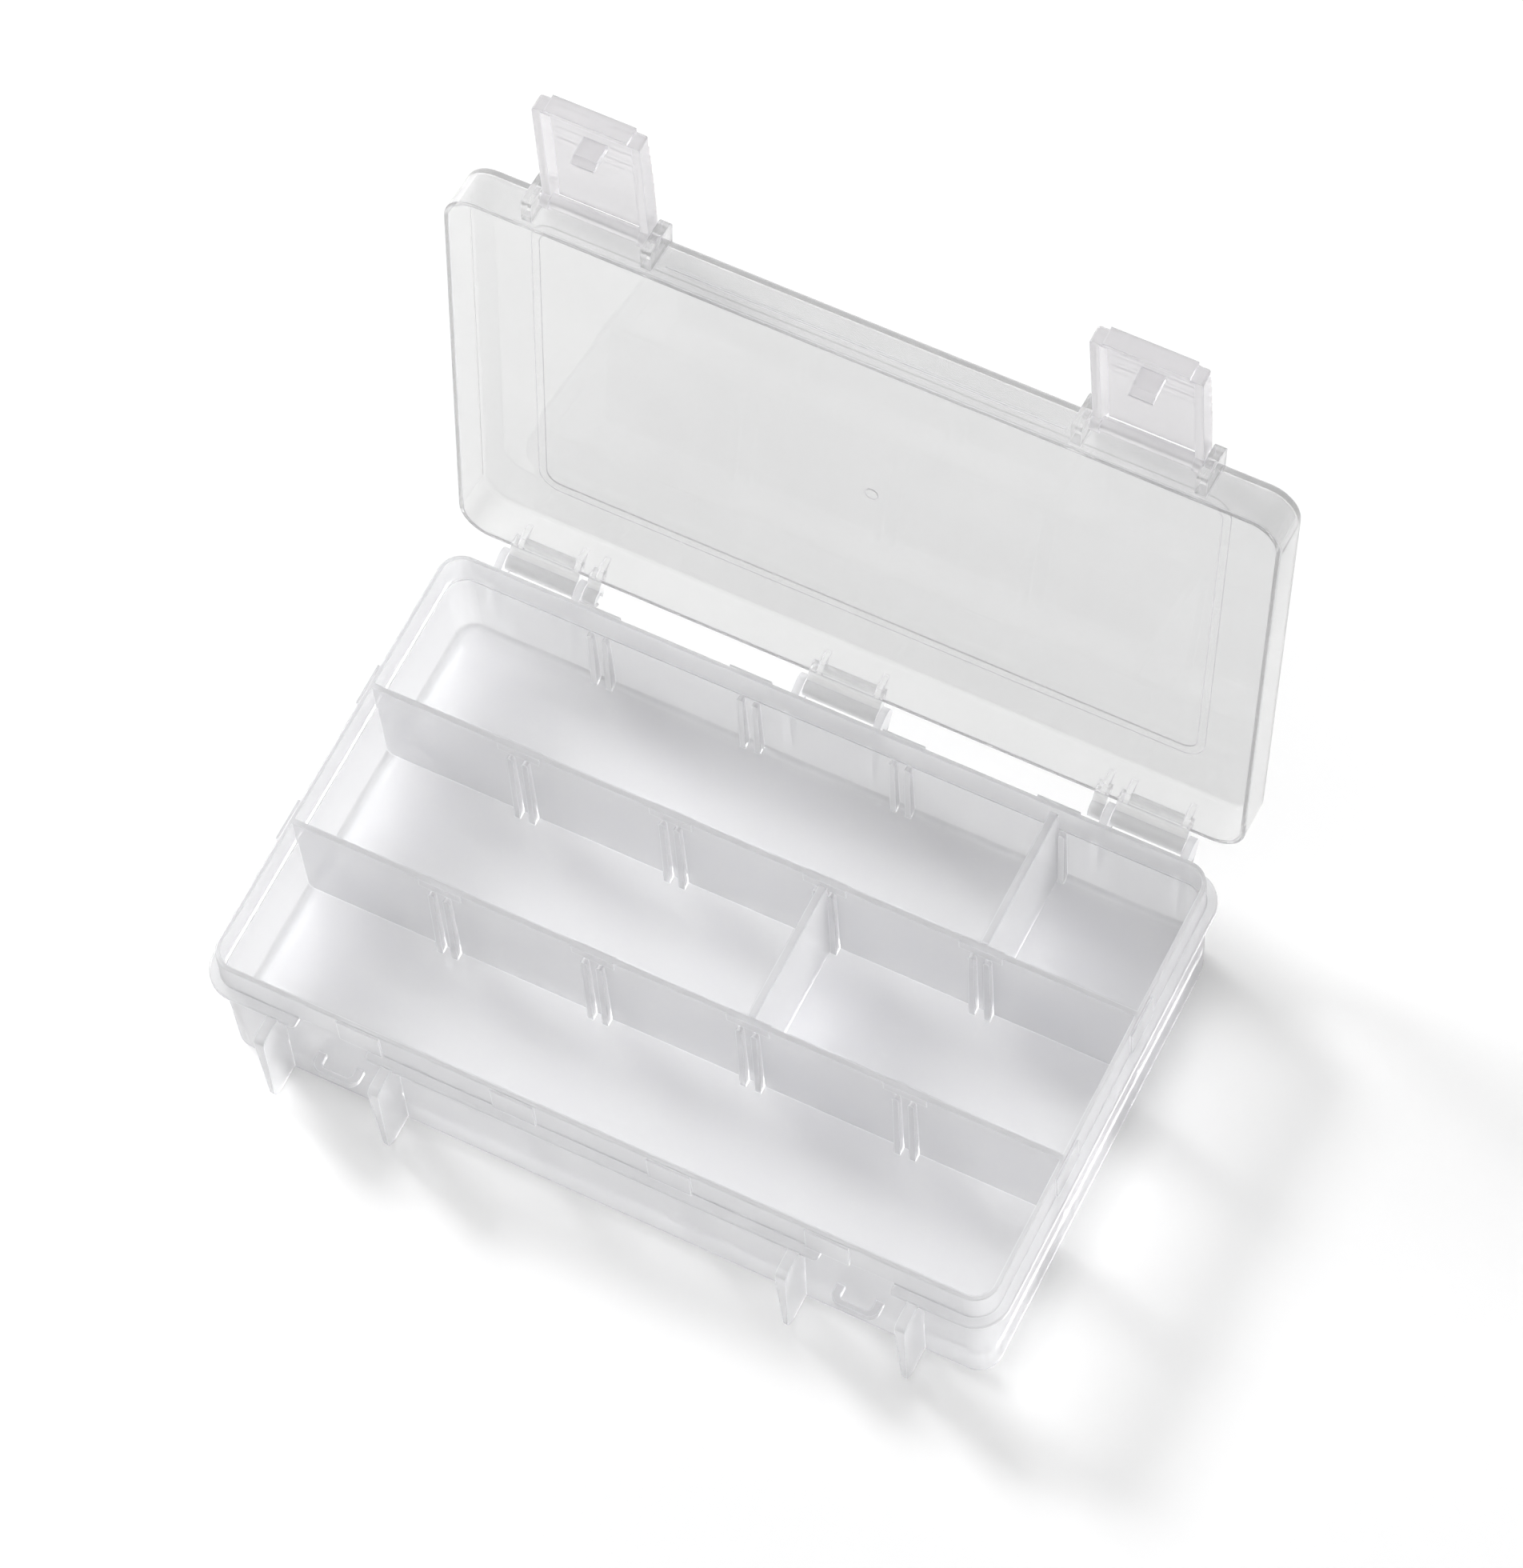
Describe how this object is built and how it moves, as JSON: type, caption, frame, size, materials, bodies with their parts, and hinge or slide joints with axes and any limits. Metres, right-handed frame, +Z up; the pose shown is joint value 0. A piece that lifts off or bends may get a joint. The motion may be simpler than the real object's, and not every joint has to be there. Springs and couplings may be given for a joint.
{
  "type": "tackle box",
  "caption": "Flat see-through compartment box with a hinged lid, swinging front latches, long dividers and lift-out cross dividers.",
  "frame": {"origin": "centre of the tray's footprint, on the flat underside of its skirt", "axes": "+X to the right along the box as seen from the latch side, +Y from the latches to the hinge, +Z up"},
  "size_m": [0.1982, 0.1622, 0.1932],
  "materials": {
    "tray_plastic": "translucent satin polypropylene",
    "lid_plastic": "translucent satin polypropylene",
    "latch_plastic": "translucent satin polypropylene",
    "divider_plastic": "translucent satin polypropylene"
  },
  "bodies": {
    "tray_body": {"tray": "tray_plastic", "cross_divider_rear": "divider_plastic", "cross_divider_middle": "divider_plastic"},
    "lid_body": {"lid": "lid_plastic"},
    "latch_left_body": {"latch_left": "latch_plastic"},
    "latch_right_body": {"latch_right": "latch_plastic"}
  },
  "joints": [
    {"name": "lid_hinge", "type": "hinge", "parent": "tray_body", "child": "lid_body", "pos_m": [0, 0.0653, 0.03097], "axis": [1, 0, 0], "range_deg": [0, 97.7]},
    {"name": "latch_left_hinge", "type": "hinge", "parent": "lid_body", "child": "latch_left_body", "pos_m": [0, 0.08976, 0.1579], "axis": [1, 0, 0], "range_deg": [-26.5, 83.5]},
    {"name": "latch_right_hinge", "type": "hinge", "parent": "lid_body", "child": "latch_right_body", "pos_m": [0, 0.08976, 0.1579], "axis": [1, 0, 0], "range_deg": [-29.5, 80.5]}
  ]
}
